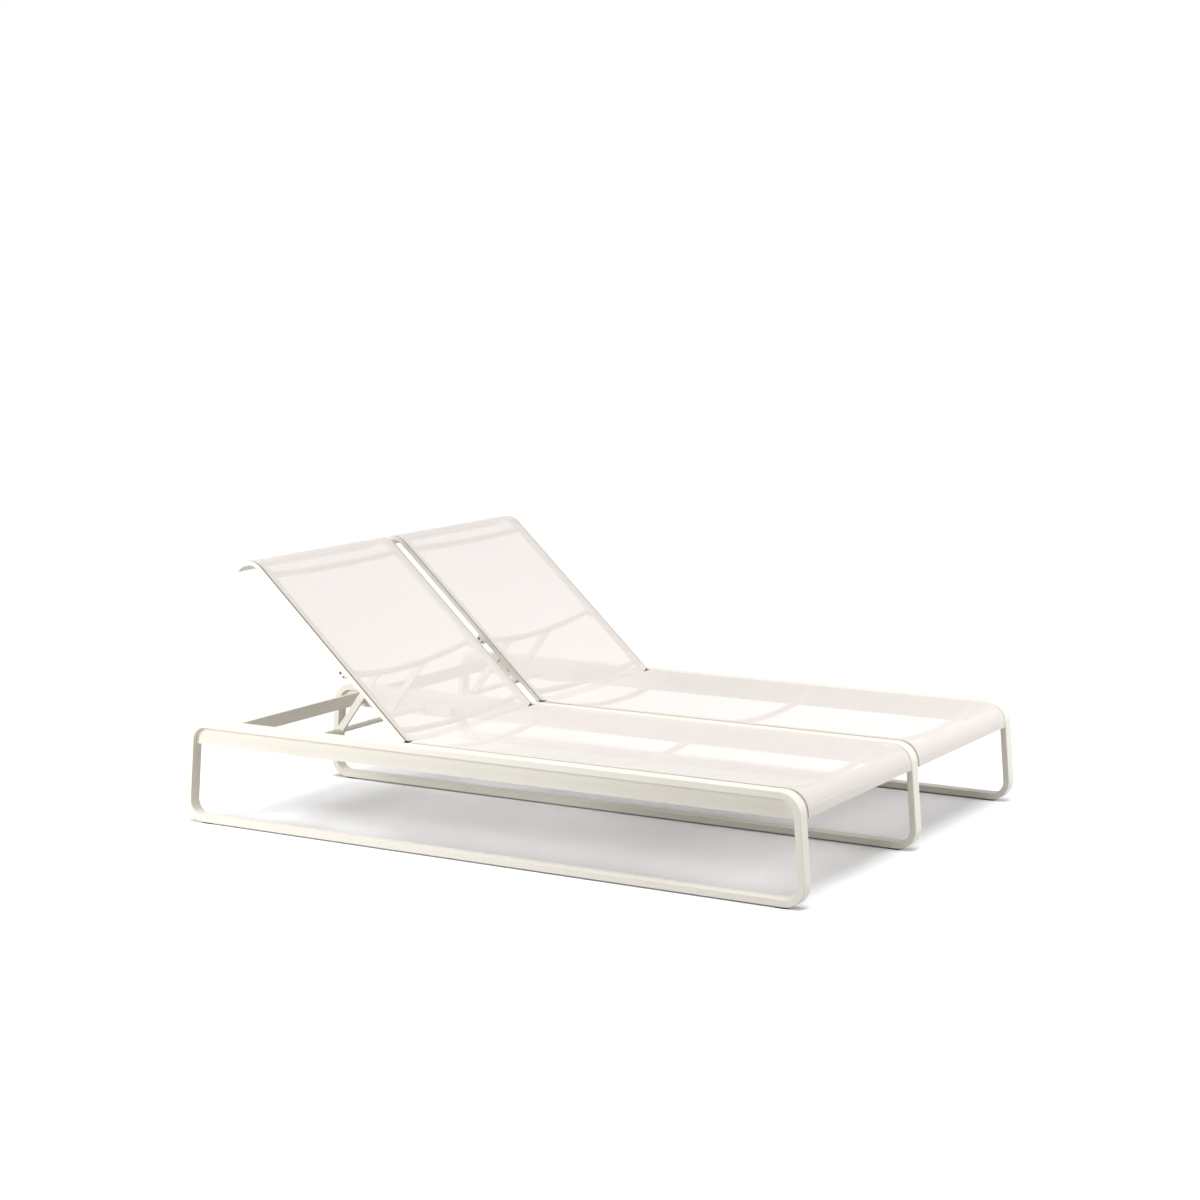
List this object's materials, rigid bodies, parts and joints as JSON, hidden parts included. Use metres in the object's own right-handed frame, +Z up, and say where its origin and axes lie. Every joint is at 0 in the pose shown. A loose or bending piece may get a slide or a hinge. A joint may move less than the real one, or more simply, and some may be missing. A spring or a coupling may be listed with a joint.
{
  "type": "double chaise lounger",
  "caption": "Low double sun lounger: closed loop frames carry twin mesh beds, and each bed has a reclining backrest on a ratchet stay.",
  "frame": {"origin": "on the floor, under the middle of the lounger", "axes": "+X across the two beds, +Y towards the head end, +Z up"},
  "size_m": [1.483, 2.0142, 0.7829],
  "materials": {
    "frame_paint": "satin off-white powder coat",
    "mesh": "see-through woven sling mesh, pale pinkish cream",
    "glide": "black"
  },
  "bodies": {
    "frame": {"loop_left": "frame_paint", "rail_plate_left": "frame_paint", "glide_left_foot": "glide", "glide_left_head": "glide", "loop_middle": "frame_paint", "rail_plate_middle": "frame_paint", "glide_middle_foot": "glide", "glide_middle_head": "glide", "loop_right": "frame_paint", "rail_plate_right": "frame_paint", "glide_right_foot": "glide", "glide_right_head": "glide", "crossbar_left": "frame_paint", "foot_tube_left": "frame_paint", "foot_hem_bar_left": "frame_paint", "seat_sling_left": "mesh", "seat_bar_left_hinge": "frame_paint", "seat_bar_left_middle": "frame_paint", "seat_bar_left_foot": "frame_paint", "seat_rail_left_left": "frame_paint", "hinge_bracket_left_left": "frame_paint", "ratchet_left_left": "frame_paint", "seat_rail_left_right": "frame_paint", "hinge_bracket_left_right": "frame_paint", "ratchet_left_right": "frame_paint", "crossbar_right": "frame_paint", "foot_tube_right": "frame_paint", "foot_hem_bar_right": "frame_paint", "seat_sling_right": "mesh", "seat_bar_right_hinge": "frame_paint", "seat_bar_right_middle": "frame_paint", "seat_bar_right_foot": "frame_paint", "seat_rail_right_left": "frame_paint", "hinge_bracket_right_left": "frame_paint", "ratchet_right_left": "frame_paint", "seat_rail_right_right": "frame_paint", "hinge_bracket_right_right": "frame_paint", "ratchet_right_right": "frame_paint"},
    "backrest_left": {"back_rail_left_left": "frame_paint", "back_rail_left_right": "frame_paint", "back_bar_left_lower": "frame_paint", "back_bar_left_upper": "frame_paint", "head_hem_bar_left": "frame_paint", "back_sling_left": "mesh"},
    "stay_left": {"stay_bar_left": "frame_paint", "stay_tube_left": "frame_paint", "stay_arm_left_left": "frame_paint", "stay_arm_left_right": "frame_paint"},
    "backrest_right": {"back_rail_right_left": "frame_paint", "back_rail_right_right": "frame_paint", "back_bar_right_lower": "frame_paint", "back_bar_right_upper": "frame_paint", "head_hem_bar_right": "frame_paint", "back_sling_right": "mesh"},
    "stay_right": {"stay_bar_right": "frame_paint", "stay_tube_right": "frame_paint", "stay_arm_right_left": "frame_paint", "stay_arm_right_right": "frame_paint"}
  },
  "joints": [
    {"name": "backrest_left_hinge", "type": "hinge", "parent": "frame", "child": "backrest_left", "pos_m": [-0.361, 0.249, 0.299], "axis": [1, 0, 0], "range_deg": [-42.67, 5.63]},
    {"name": "stay_left_pivot", "type": "hinge", "parent": "backrest_left", "child": "stay_left", "pos_m": [-0.361, 0.47296, 0.48233], "axis": [1, 0, 0], "range_deg": [-12.16, 92.08]},
    {"name": "backrest_right_hinge", "type": "hinge", "parent": "frame", "child": "backrest_right", "pos_m": [0.361, 0.249, 0.299], "axis": [1, 0, 0], "range_deg": [-42.67, 5.63]},
    {"name": "stay_right_pivot", "type": "hinge", "parent": "backrest_right", "child": "stay_right", "pos_m": [0.361, 0.47296, 0.48233], "axis": [1, 0, 0], "range_deg": [-12.16, 92.08]}
  ],
  "couplings": [
    {"joint": "stay_left_pivot", "follows": "backrest_left_hinge", "ratio": -2.1578},
    {"joint": "stay_right_pivot", "follows": "backrest_right_hinge", "ratio": -2.1578}
  ]
}
